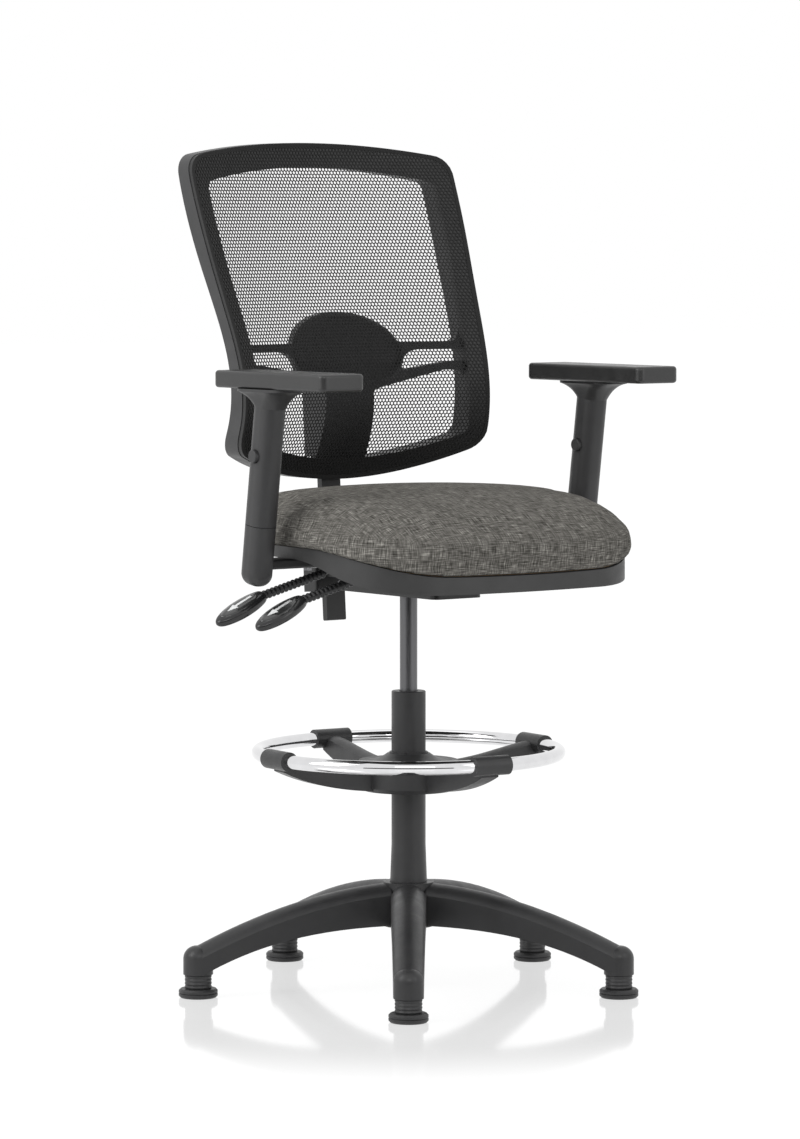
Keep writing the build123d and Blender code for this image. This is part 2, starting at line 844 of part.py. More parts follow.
def clamp_bolt_hole(z):
    y0 = bar_front - clamp_wall
    y1 = bar_back + clamp_wall
    return on_bar(Pos(0, (y0 + y1) / 2, z) * Rot(90, 0, 0) * Cylinder(bolt_radius, y1 - y0))


def clamp_bolts():
    """Two bolts through the clamp and the bar, heads at the rear."""
    y1 = bar_back + clamp_wall
    bolts = []
    for z in clamp_bolt_heights():
        head = Pos(0, y1 + bolt_head / 2, z) * Rot(90, 0, 0) * Cylinder(bolt_head_radius, bolt_head)
        bolts.append(clamp_bolt_hole(z) + on_bar(head))
    return bolts


def tilt_arm():
    """Swinging arm from the tilt pin back to the clamp on the upright bar."""
    half = arm_web_width / 2
    wall = arm_web_wall
    low = tilt_pin_z - arm_web_height / 2
    high = tilt_pin_z + arm_web_height / 2
    front = bar_front - clamp_wall
    inner = housing_width / 2 - housing_wall - 2
    arm = cross_pin(arm_hub_radius, -inner, inner, tilt_pin_y, tilt_pin_z)
    arm += block(-half, half, tilt_pin_y, front + wall, low, high)
    arm -= block(-half + wall, half - wall, tilt_pin_y + 1.6 * arm_hub_radius, front - wall, 0, high - wall)
    clamp = block(-clamp_half_width, clamp_half_width, front, bar_back + clamp_wall,
                  clamp_bottom, clamp_bottom + clamp_height)
    arm += on_bar(fillet(clamp.edges().filter_by(Axis.Z), 0.4 * clamp_wall))
    arm -= cross_pin(tilt_pin_radius + running_fit, -housing_width, housing_width, tilt_pin_y, tilt_pin_z)
    arm -= bar_slot(0)
    for z in clamp_bolt_heights():
        arm -= clamp_bolt_hole(z)
    return arm


def back_bar():
    """Flat steel upright with ratchet notches in its rear face."""
    bar = block(-bar_width / 2, bar_width / 2, bar_front, bar_back, bar_bottom, bar_top)
    bar = fillet(bar.edges().filter_by(Axis.X), 0.25 * bar_thickness)
    for k in range(bar_notches):
        low = ratchet_bottom + bar_notch + k * bar_notch_pitch
        bar -= block(-bar_notch, bar_notch, bar_back - 0.6 * bar_notch, bar_back, low, low + bar_notch)
    bar = on_bar(bar)
    for z in clamp_bolt_heights():
        bar -= clamp_bolt_hole(z)
    return bar


# Back
def back_outline(inset=0.0, top_drop=0.0):
    """Front view of the back, or of a line inside it: arched top, drawn-in waist and a round foot."""
    foot_wide = back_foot_width - inset
    wide = back_half_width - inset
    waist_wide = back_waist - inset
    low = back_bottom + inset
    foot = low + back_bottom_arc - sqrt(back_bottom_arc ** 2 - foot_wide ** 2)
    shoulder = back_shoulder - inset - top_drop
    height = shoulder - low
    top = ThreePointArc((-wide, shoulder), (0, back_top - inset - top_drop), (wide, shoulder))
    sole = ThreePointArc((-foot_wide, foot), (0, low), (foot_wide, foot))
    edges = top + sole
    for side in (-1, 1):
        edges += Spline((side * wide, shoulder), (side * (wide + 1), shoulder - 0.15 * height),
                        (side * waist_wide, low + 0.3 * height), (side * foot_wide, foot))
    face = make_face(edges.edges())
    upper = [v for v in face.vertices() if abs(v.Y - shoulder) < 0.01]
    face = fillet(upper, max(back_top_corner - inset, opening_corner))
    lower = [v for v in face.vertices() if abs(v.Y - foot) < 0.01]
    return fillet(lower, max(back_bottom_corner - inset, opening_corner))


def front_prism(face):
    """Front-view face carried through the whole depth of the back."""
    return extrude(Plane.XZ * face, back_top, both=True)


def back_slab(front, thickness=None):
    """Curved slab at a distance behind the back's front surface, to the frame's rear or of one thickness."""
    half = back_half_width + frame_border
    faces = []
    for share, ahead, depth, wrap in back_levels:
        sag = wrap - sqrt(wrap ** 2 - back_half_width ** 2)
        fall = wrap - sqrt(wrap ** 2 - half ** 2)
        near = bar_y - ahead + sag + front
        far = near + (thickness if thickness else depth - front)
        edges = ThreePointArc((-half, near - fall), (0, near), (half, near - fall))
        edges += Line((half, near - fall), (half, far - fall))
        edges += ThreePointArc((half, far - fall), (0, far), (-half, far - fall))
        edges += Line((-half, far - fall), (-half, near - fall))
        faces.append(Pos(0, 0, back_bottom + share * back_height) * make_face(edges))
    return loft(faces)


def frame_opening():
    """Opening inside the frame's border, lower under the wider top border."""
    return back_outline(frame_border, frame_top_extra)


def panel_windows():
    """Cut-outs that leave the spine, its dome and two bars a side."""
    far = back_half_width + frame_border
    upper_low = back_bottom + upper_bar_rise
    lower_high = back_bottom + lower_bar_rise
    neck = back_bottom + spine_neck_rise
    dome = Pos(0, back_bottom + dome_rise) * Ellipse(dome_half_width, dome_height)
    upper = Pos(0, (upper_low + back_top) / 2) * Rectangle(2 * far, back_top - upper_low)
    upper -= dome
    joints = [v for v in upper.vertices() if abs(v.Y - upper_low) < 0.01 and abs(v.X) < dome_half_width + 1]
    windows = [fillet(joints, window_round)]
    eye_top = upper_low - upper_bar
    eye_low = lower_high + lower_bar
    slant = 0.05 * eye_inner
    for side in (-1, 1):
        eye = make_face(Polyline((side * (eye_inner + slant), eye_top), (side * far, eye_top),
                                 (side * far, eye_low), (side * (lower_bar_kink + slant), eye_low),
                                 (side * (eye_inner - slant), lower_high), close=True))
        near = [v for v in eye.vertices() if abs(v.X) < eye_inner + 2 * slant]
        windows.append(fillet(near, 0.5 * window_round))
        low = make_face(Polyline((side * spine_half_width, back_bottom), (side * spine_neck, neck),
                                 (side * (lower_bar_kink - slant), lower_high), (side * far, lower_high),
                                 (side * far, back_bottom), close=True))
        corner = [v for v in low.vertices() if abs(v.Y - neck) < 0.01]
        windows.append(fillet(corner, window_round))
    return windows


def back_frame():
    """Moulded frame: deep curved border, with the spine panel and its bars set back from the mesh."""
    border = front_prism(back_outline() - frame_opening()) & back_slab(carrier_depth)
    panel_face = back_outline(0.5 * frame_border)
    for window in panel_windows():
        panel_face -= window
    panel = front_prism(panel_face) & back_slab(panel_setback, panel_thickness)
    return border + panel - bar_slot(moving_gap, behind=spine_reach)


def mesh_carrier():
    """Inner ring that the mesh is stretched over, in front of the frame."""
    ring = front_prism(back_outline(carrier_inset) - frame_opening()) & back_slab(0, 2 * carrier_depth)
    return ring - back_slab(carrier_depth)


def back_mesh():
    return front_prism(back_outline()) & back_slab(-mesh_thickness, mesh_thickness)


def behind_panel():
    """Everything behind the spine panel, as far as the pieces at its back reach."""
    return back_slab(panel_setback + panel_thickness, 3 * spine_reach)


def spine_shell(grow, low, high):
    """Tapered rear hump over the bar, from inside the panel back past the bar."""
    half = ratchet_half_width + ratchet_wall + grow
    rear = bar_back + ratchet_wall + grow
    front = bar_front - spine_reach
    face = make_face(Polyline((front, low), (rear, low), (rear, bar_top - cover_above_bar),
                              (rear - 0.5 * cover_above_bar, bar_top + cover_above_bar + grow),
                              (front + 0.5 * spine_reach, high), (front, high), close=True))
    return on_bar(extrude(Plane.YZ * face, half, both=True))


def ratchet_block():
    """Sliding block that rides on the bar inside the spine."""
    half = ratchet_half_width
    body = block(-half, half, bar_front - spine_reach, bar_back + ratchet_wall, ratchet_bottom, ratchet_top)
    return on_bar(body) & behind_panel() - bar_slot(moving_gap)


def spine_cover():
    """Moulded cover over the bar and the ratchet, on the back of the spine."""
    low = ratchet_bottom - ratchet_wall
    high = back_bottom + spine_cover_rise
    cover = spine_shell(cover_wall, low, high)
    cover -= spine_shell(0, low - cover_above_bar, high - 4 * cover_wall)
    return cover & behind_panel()


# Arms
def arm_frame(side):
    lean = radians(arm_lean)
    return Plane(origin=(side * arm_x, arm_y, arm_low), x_dir=(1, 0, 0), z_dir=(0, -sin(lean), cos(lean)))


def along_arm(z):
    """Distance up the leaning post to a height above the floor."""
    return (z - arm_low) / cos(radians(arm_lean))


def arm_oval():
    return RectangleRounded(arm_section[0], arm_section[1], arm_section_round)


def blade_pocket(bottom, top):
    """Slot for the steel blade, with its sliding gap."""
    slot = Rectangle(blade_thickness + 2 * blade_gap, blade_width + 2 * blade_gap)
    return extrude(Pos(0, 0, bottom) * slot, top - bottom)


def arm_bracket(side):
    """Steel bar under the seat, welded to the upright blade of the arm."""
    low = pan_underside - bracket_thickness
    blade = block(-blade_thickness / 2, blade_thickness / 2, -blade_width / 2, blade_width / 2,
                  along_arm(low), blade_height)
    for k in range(blade_holes):
        height = along_arm(button_height) - k * blade_hole_pitch
        blade -= cross_pin(blade_hole_radius, -blade_thickness, blade_thickness, 0, height)
    blade = arm_frame(side).location * blade
    ends = sorted((side * bracket_reach, side * (arm_x + blade_thickness / 2)))
    bar = block(ends[0], ends[1], arm_y - bracket_width / 2, arm_y + bracket_width / 2, low, pan_underside)
    bar = fillet(bar.edges().filter_by(Axis.X), 0.25 * bracket_thickness)
    bracket = bar + blade
    for x in arm_bolt_x:
        bracket -= post(bolt_radius, housing_bottom, cushion_top, side * x, arm_y)
    return bracket


def arm_bolts():
    low = pan_underside - bracket_thickness
    return [hex_bolt(low, seam_height - 2, x, y) for x, y in arm_bolt_places()]


def arm_cover(side):
    """Fixed lower cover of the post, with a round foot."""
    cover = extrude(arm_oval(), arm_cover_height)
    cover = fillet(cover.edges().group_by(Axis.Z)[0], arm_cover_round)
    return arm_frame(side).location * cover - arm_bracket(side)


def arm_sleeve(side):
    """Sliding upper sleeve that flares out under the pad."""
    frame = arm_frame(side)
    straight_top = along_arm(pad_bottom - flare_height)
    bottom = arm_cover_height + seam_gap
    tube = frame.location * extrude(Pos(0, 0, bottom) * arm_oval(), straight_top - bottom)
    throat = frame.location * (Pos(0, 0, straight_top) * arm_oval())
    drift = tan(radians(arm_lean))

    def oval(height, width, length, corner):
        y = arm_y - (height - arm_low) * drift
        return Pos(side * arm_x, y, height) * RectangleRounded(width, length, corner)

    share = 0.62
    middle = oval(pad_bottom - flare_lip - 0.3 * flare_height,
                  arm_section[0] + (flare_width - arm_section[0]) * (1 - share),
                  arm_section[1] + (flare_length - arm_section[1]) * (1 - share), arm_section_round + 2)
    brim = oval(pad_bottom - flare_lip, flare_width, flare_length, 0.48 * flare_width)
    sleeve = tube + loft([throat, middle, brim])
    sleeve += extrude(brim, flare_lip)
    pocket = frame.location * blade_pocket(bottom, blade_height + 1)
    return sleeve - pocket - button_pocket(side)


def button_centre(side):
    lean = radians(arm_lean)
    return (side * arm_x, arm_y - along_arm(button_height) * sin(lean), button_height)


def button_pocket(side):
    """Round hole in the -X face of the post for the button."""
    x, y, z = button_centre(side)
    face = x - arm_section[0] / 2
    return cross_pin(button_radius + moving_gap, face - 1, face + button_depth + button_travel + 1, y, z)


def arm_button(side):
    """Push button in the -X face of the post."""
    x, y, z = button_centre(side)
    face = x - arm_section[0] / 2
    button = cross_pin(button_radius, face - button_proud, face + button_depth, y, z)
    return fillet(button.edges().group_by(Axis.X)[0], 1.5)


def arm_pad(side):
    outline = RectangleRounded(pad_width, pad_ahead + pad_behind, pad_corner)
    middle = arm_y + (pad_behind - pad_ahead) / 2
    pad = extrude(Pos(side * pad_x, middle, pad_bottom) * outline, pad_thickness)
    rims = pad.edges().group_by(Axis.Z)
    return fillet(rims[0] + rims[-1], pad_round)


# Every piece of the chair by name
nodes = {
    "star_base": star_base(),
    "glides": around(leg_count, leg_yaw, glide()),
    "glide_stems": around(leg_count, leg_yaw, glide_stem()),
    "column_tube": column_tube(),
    "column_cover": column_cover(),
    "guide_bush": guide_bush(),
    "bearing_lower_race": bearing_ring(bearing_bottom, race_height, rod_radius + moving_gap),
    "bearing_cage": bearing_ring(cage_bottom, cage_height, rod_radius + 2),
    "bearing_upper_race": bearing_ring(upper_race_bottom, race_height, rod_radius),
    "piston_rod": piston_rod(),
    "rod_clip": rod_clip(),
    "gas_cylinder": gas_cylinder(),
    "cylinder_gland": cylinder_gland(),
    "release_pin": release_pin(),
    "foot_ring_tube": ring_torus(),
    "foot_ring_spider": foot_ring_spider(),
    "spider_collet": spider_collet(),
    "seat_pan": seat_pan(),
    "seat_board": seat_board(),
    "seat_cushion": seat_cushion(),
    "seat_bolts": seat_bolts(),
    "spacer_bushes": spacer_bushes(),
    "mechanism_body": mechanism_body(),
    "taper_socket": taper_socket(),
    "tilt_pin": tilt_pin(),
    "height_lever_rod": lever_rod(height_lever_y),
    "height_lever_sleeve": lever_sleeve(height_lever_y),
    "height_lever_paddle": lever_paddle(height_lever_y),
    "tilt_lever_rod": lever_rod(tilt_lever_y),
    "tilt_lever_sleeve": lever_sleeve(tilt_lever_y),
    "tilt_lever_paddle": lever_paddle(tilt_lever_y),
    "tilt_arm": tilt_arm(),
    "clamp_bolts": clamp_bolts(),
    "back_bar": back_bar(),
    "back_frame": back_frame(),
    "mesh_carrier": mesh_carrier(),
    "back_mesh": back_mesh(),
    "ratchet_block": ratchet_block(),
    "spine_cover": spine_cover(),
    "arm_bolts": arm_bolts(),
}
for name, side in (("right", -1), ("left", 1)):
    nodes["arm_bracket_" + name] = arm_bracket(side)
    nodes["arm_cover_" + name] = arm_cover(side)
    nodes["arm_sleeve_" + name] = arm_sleeve(side)
    nodes["arm_pad_" + name] = arm_pad(side)
    nodes["arm_button_" + name] = arm_button(side)

os.makedirs("parts", exist_ok=True)
for node, shape in nodes.items():
    solids = Compound(children=list(shape)) if isinstance(shape, list) else shape
    export_step(solids, f"parts/{node}.step")
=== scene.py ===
import json
from math import atan2, cos, hypot, pi, radians, sin

import bmesh
import bpy
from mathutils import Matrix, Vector
from mathutils.bvhtree import BVHTree


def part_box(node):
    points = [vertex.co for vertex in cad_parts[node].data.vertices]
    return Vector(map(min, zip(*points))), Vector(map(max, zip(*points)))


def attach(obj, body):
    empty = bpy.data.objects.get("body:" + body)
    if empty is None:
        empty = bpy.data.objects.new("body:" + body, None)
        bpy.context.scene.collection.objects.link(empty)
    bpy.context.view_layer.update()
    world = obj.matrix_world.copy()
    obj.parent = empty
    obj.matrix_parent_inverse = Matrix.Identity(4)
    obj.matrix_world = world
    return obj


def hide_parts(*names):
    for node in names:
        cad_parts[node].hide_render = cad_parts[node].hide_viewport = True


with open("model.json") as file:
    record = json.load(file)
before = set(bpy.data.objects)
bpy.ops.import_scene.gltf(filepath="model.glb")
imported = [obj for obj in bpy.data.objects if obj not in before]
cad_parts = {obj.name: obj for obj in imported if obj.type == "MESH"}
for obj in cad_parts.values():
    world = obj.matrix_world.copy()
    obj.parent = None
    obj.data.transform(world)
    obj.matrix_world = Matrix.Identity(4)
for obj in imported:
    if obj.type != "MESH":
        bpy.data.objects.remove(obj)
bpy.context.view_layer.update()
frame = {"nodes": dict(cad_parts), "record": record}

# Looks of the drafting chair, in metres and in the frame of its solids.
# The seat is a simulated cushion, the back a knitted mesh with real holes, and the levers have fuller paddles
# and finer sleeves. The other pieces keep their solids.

nodes = frame["nodes"]
MM = 0.001
# Most values of a noise lie between these
noise_low, noise_high = 0.3, 0.7


# Node materials
class Look:
    """A procedural material under construction; constant values go on the shader's own sockets."""

    def __init__(self, name, **sockets):
        self.material = bpy.data.materials.new(name)
        self.material.use_nodes = True
        self.tree = self.material.node_tree
        self.shader = self.tree.nodes["Principled BSDF"]
        for socket, value in sockets.items():
            self.shader.inputs[socket.replace("_", " ")].default_value = value
        self.place = self.node("ShaderNodeTexCoord").outputs["Object"]

    def node(self, kind, **settings):
        made = self.tree.nodes.new(kind)
        for key, value in settings.items():
            setattr(made, key, value)
        return made

    def join(self, source, target):
        self.tree.links.new(source, target)

    def stretched(self, x, y, z):
        """Coordinates scaled a different amount along each axis."""
        mapping = self.node("ShaderNodeMapping")
        mapping.inputs["Scale"].default_value = (x, y, z)
        self.join(self.place, mapping.inputs["Vector"])
        return mapping.outputs["Vector"]

    def noise(self, scale, detail=3.0, roughness=0.55, place=None):
        made = self.node("ShaderNodeTexNoise")
        made.inputs["Scale"].default_value = scale
        made.inputs["Detail"].default_value = detail
        made.inputs["Roughness"].default_value = roughness
        self.join(place or self.place, made.inputs["Vector"])
        return made.outputs["Fac"]

    def span(self, value, low, high, start=noise_low, end=noise_high):
        """A value moved into a new range."""
        made = self.node("ShaderNodeMapRange")
        for socket, number in (("From Min", start), ("From Max", end), ("To Min", low), ("To Max", high)):
            made.inputs[socket].default_value = number
        self.join(value, made.inputs["Value"])
        return made.outputs["Result"]

    def math(self, operation, first, second):
        made = self.node("ShaderNodeMath", operation=operation)
        self.join(first, made.inputs[0])
        self.join(second, made.inputs[1])
        return made.outputs["Value"]

    def blend(self, share, first, second):
        """Two values mixed by a share of the second."""
        made = self.node("ShaderNodeMix", data_type="FLOAT")
        self.join(share, made.inputs["Factor"])
        self.join(first, made.inputs["A"])
        self.join(second, made.inputs["B"])
        return made.outputs["Result"]

    def colour(self, value, *stops):
        """Base colour from colours at positions along a value."""
        made = self.node("ShaderNodeValToRGB")
        elements = made.color_ramp.elements
        while len(elements) < len(stops):
            elements.new(0.5)
        for element, (position, colour) in zip(elements, stops):
            element.position = position
            element.color = (*colour, 1.0)
        self.join(value, made.inputs["Fac"])
        self.join(made.outputs["Color"], self.shader.inputs["Base Color"])

    def tint(self, value, colour, darkest, palest):
        """Base colour that varies about one colour along a noise."""
        self.colour(value, (noise_low, shade(colour, darkest)), (noise_high, shade(colour, palest)))

    def roughness(self, value):
        self.join(value, self.shader.inputs["Roughness"])

    def bump(self, height, depth, strength):
        made = self.node("ShaderNodeBump")
        made.inputs["Strength"].default_value = strength
        made.inputs["Distance"].default_value = depth
        self.join(height, made.inputs["Height"])
        self.join(made.outputs["Normal"], self.shader.inputs["Normal"])


def shade(colour, factor):
    """A colour made darker or paler."""
    return tuple(channel * factor for channel in colour)


def moulded(name, colour, rough, grain=900.0, depth=0.06 * MM, gloss=0.5):
    """Moulded plastic: cloudy tone, spark-eroded grain and uneven gloss."""
    cloud_scale, handled_scale = 14.0, 40.0
    look = Look(name, Specular_IOR_Level=gloss)
    look.tint(look.noise(cloud_scale), colour, darkest=0.86, palest=1.14)
    fine = look.noise(grain, detail=2.0)
    worn = look.math("ADD", fine, look.noise(handled_scale))
    look.roughness(look.span(worn, low=rough - 0.06, high=rough + 0.08, start=0.8, end=1.2))
    look.bump(fine, depth, strength=0.5)
    return look.material


def metal(name, colour, rough, brushed=None):
    """Bare or plated metal, with faint streaks where it is brushed."""
    cloud_scale = 60.0
    look = Look(name, Metallic=1.0)
    if brushed:
        streak = look.noise(1.0, detail=4.0, roughness=0.6, place=look.stretched(*brushed))
    else:
        streak = look.noise(cloud_scale)
    look.tint(streak, colour, darkest=0.93, palest=1.0)
    look.roughness(look.span(streak, low=rough, high=rough * 1.6))
    look.bump(streak, depth=0.01 * MM, strength=0.2)
    return look.material


def painted(name, colour, rough=0.35):
    """Powder-coated steel with a fine orange peel."""
    cloud_scale, peel_scale = 20.0, 420.0
    look = Look(name, Specular_IOR_Level=0.5)
    peel = look.noise(peel_scale, detail=2.0)
    look.tint(look.noise(cloud_scale), colour, darkest=0.88, palest=1.12)
    look.roughness(look.span(peel, low=rough - 0.05, high=rough + 0.07))
    look.bump(peel, depth=0.05 * MM, strength=0.5)
    return look.material


def plywood(name):
    """Moulded board with its plies showing on the edge."""
    ply_scale = (4.0, 4.0, 700.0)
    look = Look(name, Roughness=0.6)
    plies = look.noise(1.0, detail=2.0, roughness=0.5, place=look.stretched(*ply_scale))
    look.colour(plies, (0.35, (0.30, 0.18, 0.09)), (0.65, (0.52, 0.36, 0.20)))
    look.bump(plies, depth=0.1 * MM, strength=0.4)
    return look.material


fabric_place = "fabric_place"


def slub_weave(name):
    """Charcoal upholstery: long uneven threads both ways, some pale and some dark."""
    along, across = 55.0, 780.0
    blotch_scale = 28.0
    look = Look(name, Roughness=0.95, Specular_IOR_Level=0.06)

    def threads():
        """Noise drawn out one way and the other over the look's present coordinates."""
        ways = ((along, across, 0.0), (across, along, 0.0))
        return [look.noise(1.0, detail=2.0, roughness=0.5, place=look.stretched(*way)) for way in ways]

    top = threads()
    look.place = look.node("ShaderNodeAttribute", attribute_name=fabric_place).outputs["Vector"]
    sides = threads()
    place = look.node("ShaderNodeSeparateXYZ")
    look.join(look.place, place.inputs["Vector"])
    weave = look.math("ADD", *[look.blend(place.outputs["Z"], *pair) for pair in zip(top, sides)])
    blotch = look.span(look.noise(blotch_scale, detail=4.0), low=-0.05, high=0.05)
    tone = look.span(look.math("ADD", weave, blotch), low=0.0, high=1.0, start=0.72, end=1.28)
    look.colour(tone, (0.0, (0.045, 0.043, 0.038)), (0.35, (0.118, 0.113, 0.102)),
                (0.62, (0.190, 0.182, 0.166)), (0.82, (0.290, 0.278, 0.255)), (1.0, (0.43, 0.42, 0.38)))
    look.bump(weave, depth=0.5 * MM, strength=0.6)
    return look.material


def knitted(name):
    """Black polyester yarn of the back's mesh."""
    yarn_scale = (1500.0, 1500.0, 500.0)
    look = Look(name, Roughness=0.7, Specular_IOR_Level=0.2)
    yarn = look.noise(1.0, detail=3.0, roughness=0.6, place=look.stretched(*yarn_scale))
    look.colour(yarn, (noise_low, (0.014, 0.014, 0.014)), (noise_high, (0.034, 0.034, 0.034)))
    look.bump(yarn, depth=0.15 * MM, strength=0.6)
    return look.material


looks = {
    "base_plastic": moulded("base_moulding", (0.029, 0.029, 0.030), 0.40, gloss=0.44),
    "glide_plastic": moulded("glide_moulding", (0.024, 0.024, 0.025), 0.45, grain=1400.0),
    "cover_plastic": moulded("column_moulding", (0.035, 0.035, 0.036), 0.40, gloss=0.45),
    "bush_plastic": moulded("bush_moulding", (0.10, 0.10, 0.105), 0.5),
    "pan_plastic": moulded("pan_moulding", (0.036, 0.036, 0.036), 0.48, grain=1100.0, depth=0.10 * MM),
    "frame_plastic": moulded("frame_moulding", (0.046, 0.046, 0.047), 0.46, grain=1100.0, gloss=0.42),
    "arm_plastic": moulded("arm_moulding", (0.038, 0.038, 0.039), 0.44, grain=1100.0, gloss=0.45),
    "pad_plastic": moulded("pad_skin", (0.022, 0.022, 0.022), 0.34, grain=1500.0, depth=0.08 * MM, gloss=0.6),
    "sleeve_plastic": moulded("lever_sleeve_moulding", (0.020, 0.020, 0.021), 0.45),
    "lever_plastic": moulded("lever_moulding", (0.020, 0.020, 0.021), 0.16, grain=500.0, depth=0.02 * MM),
    "steel": metal("bare_steel", (0.56, 0.56, 0.58), 0.28, brushed=(60.0, 900.0, 900.0)),
    "black_steel": painted("black_powder_coat", (0.012, 0.012, 0.012)),
    "chrome": metal("chrome_plate", (0.76, 0.76, 0.77), 0.04),
    "board_wood": plywood("moulded_plywood"),
    "seat_fabric": slub_weave("charcoal_slub_weave"),
    "mesh_fabric": knitted("black_knitted_mesh"),
}
# Pieces whose finish isn't their slot's
own_looks = {
    "gas_cylinder": metal("black_chrome_tube", (0.15, 0.15, 0.155), 0.27, brushed=(900.0, 900.0, 40.0)),
    "mesh_carrier": moulded("carrier_moulding", (0.018, 0.018, 0.018), 0.5, grain=1100.0),
    "height_lever_rod": looks["black_steel"],
    "tilt_lever_rod": looks["black_steel"],
}
dome_look = moulded("dome_moulding", (0.020, 0.020, 0.020), 0.5, grain=1100.0)
inlay_look = moulded("lever_inlay_gloss", (0.030, 0.031, 0.031), 0.12, grain=700.0, depth=0.01 * MM,
                     gloss=0.7)
mark_look = metal("mark_foil", (0.86, 0.87, 0.87), 0.42)
for part in frame["record"]["subparts"]:
    solid = nodes[part["node"]]
    solid.data.materials.clear()
    solid.data.materials.append(own_looks.get(part["node"], looks[part["material_slot"]]))


# Helpers for pieces
def new_piece(name, mesh, body, slot, *replaced):
    """A new object with the finish of a material slot, riding on a body and standing for solids."""
    piece = bpy.data.objects.new(name, mesh)
    bpy.context.scene.collection.objects.link(piece)
    piece.data.materials.clear()
    piece.data.materials.append(looks[slot])
    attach(piece, body)
    if replaced:
        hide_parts(*replaced)
    return piece


def apply_modifiers(piece):
    """Bakes a piece's modifiers into its mesh."""
    evaluated = piece.evaluated_get(bpy.context.evaluated_depsgraph_get())
    baked = bpy.data.meshes.new_from_object(evaluated)
    piece.modifiers.clear()
    old = piece.data
    piece.data = baked
    bpy.data.meshes.remove(old)


def as_mesh(name, draft):
    """A mesh from a finished draft."""
    mesh = bpy.data.meshes.new(name)
    draft.to_mesh(mesh)
    draft.free()
    return mesh


def skin(draft, rings):
    """Faces between rings of points that follow each other."""
    for first, second in zip(rings, rings[1:]):
        for k in range(len(first)):
            after = (k + 1) % len(first)
            draft.faces.new((first[k], first[after], second[after], second[k]))


def thickened(piece, thickness):
    """Gives a sheet its thickness, half to each side."""
    thicken = piece.modifiers.new("thicken", "SOLIDIFY")
    thicken.thickness = thickness
    thicken.offset = 0.0


def subdivided(piece, levels):
    """Gives a piece a finer, rounder surface."""
    finer = piece.modifiers.new("finer", "SUBSURF")
    finer.levels = levels
    finer.render_levels = levels


def round_sides(piece):
    """Smooth shading for all but the flat ends."""
    piece.data.polygons.foreach_set("use_smooth", [len(face.vertices) == 4 for face in piece.data.polygons])


def clipped(value):
    """A value held between 0 and 1."""
    return min(1.0, max(0.0, value))


def furthest(holds, limit, halvings):
    """Largest distance up to a limit at which a test still holds, found by halving."""
    inside, outside = 0.0, limit
    for _ in range(halvings):
        reach = (inside + outside) / 2
        if holds(reach):
            inside = reach
        else:
            outside = reach
    return inside


# Seat cushion, swollen by cloth simulation from a slightly smaller copy of its solid
cushion_voxel = 5.0 * MM
cushion_shrink = 3.0 * MM
cushion_swell = 6.0 * MM
cushion_frames = 20
cushion_pressure = 4.0
cushion_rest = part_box("seat_cushion")[0].z
cushion_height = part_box("seat_cushion")[1].z - cushion_rest
cushion_half_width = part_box("seat_cushion")[1].x
# Upward shares of the normals under which the underside isn't shrunk, and is held in the simulation
unshrunk_below, held_below = -0.5, -0.6
# Rolled edge of the foam, with its height and reach as shares of the cushion's height, fading to the rear
edge_roll = 9.5 * MM
roll_height, roll_below, roll_above = 0.32, 0.21, 0.28
roll_end, roll_fade = 20.0 * MM, 150.0 * MM
crown_drop = 3.0 * MM
shoulder_drop = 4.0 * MM
smooth_share, smooth_rounds = 0.5, 4
cushion_levels = 1

cushion = new_piece("upholstered_cushion", nodes["seat_cushion"].data.copy(), "seat", "seat_fabric",
                    "seat_cushion")
remesh = cushion.modifiers.new("remesh", "REMESH")
remesh.mode = "VOXEL"
remesh.voxel_size = cushion_voxel
apply_modifiers(cushion)
shell = cushion.data
shell_normals = [vertex.normal.copy() for vertex in shell.vertices]
for vertex, normal in zip(shell.vertices, shell_normals):
    if normal.z > unshrunk_below:
        vertex.co -= normal * cushion_shrink
start_places = [vertex.co.copy() for vertex in shell.vertices]

held = cushion.vertex_groups.new(name="held")
held.add([vertex.index for vertex in shell.vertices if vertex.normal.z < held_below], 1.0, "REPLACE")
cloth = cushion.modifiers.new("cloth", "CLOTH")
cloth.settings.vertex_group_mass = "held"
cloth.settings.use_pressure = True
cloth.settings.uniform_pressure_force = cushion_pressure
cloth.settings.effector_weights.gravity = 0.0
cloth.point_cache.frame_start = 1
cloth.point_cache.frame_end = cushion_frames
for step in range(1, cushion_frames + 1):
    bpy.context.scene.frame_set(step)
apply_modifiers(cushion)
for vertex, start in zip(cushion.data.vertices, start_places):
    move = vertex.co - start
    if move.length > cushion_swell:
        vertex.co = start + move.normalized() * cushion_swell
cushion.vertex_groups.clear()
for vertex, normal in zip(cushion.data.vertices, shell_normals):
    share = (vertex.co.z - cushion_rest) / cushion_height
    reach = roll_below if share < roll_height else roll_above
    roll = max(0.0, 1.0 - ((share - roll_height) / reach) ** 2)
    roll *= clipped((roll_end - vertex.co.y) / roll_fade)
    vertex.co += edge_roll * roll * Vector((normal.x, normal.y, 0.0))
    drop = crown_drop + shoulder_drop * (vertex.co.x / cushion_half_width) ** 2
    vertex.co.z -= max(0.0, normal.z) * drop
smooth = cushion.modifiers.new("smooth", "SMOOTH")
smooth.factor = smooth_share
smooth.iterations = smooth_rounds
apply_modifiers(cushion)

# Place of each point on the cloth's side band: the way round from the middle of the front, the way down from
# the top, and how far the point is round the edge, from 0 on the top to 1 on the sides
cloth_top = max(vertex.co.z for vertex in cushion.data.vertices)
cloth_middle_x = 0.15
cloth_middle_y = (-0.16, 0.06)
cloth_corner = 0.10
edge_start, edge_end = 0.85, 0.45


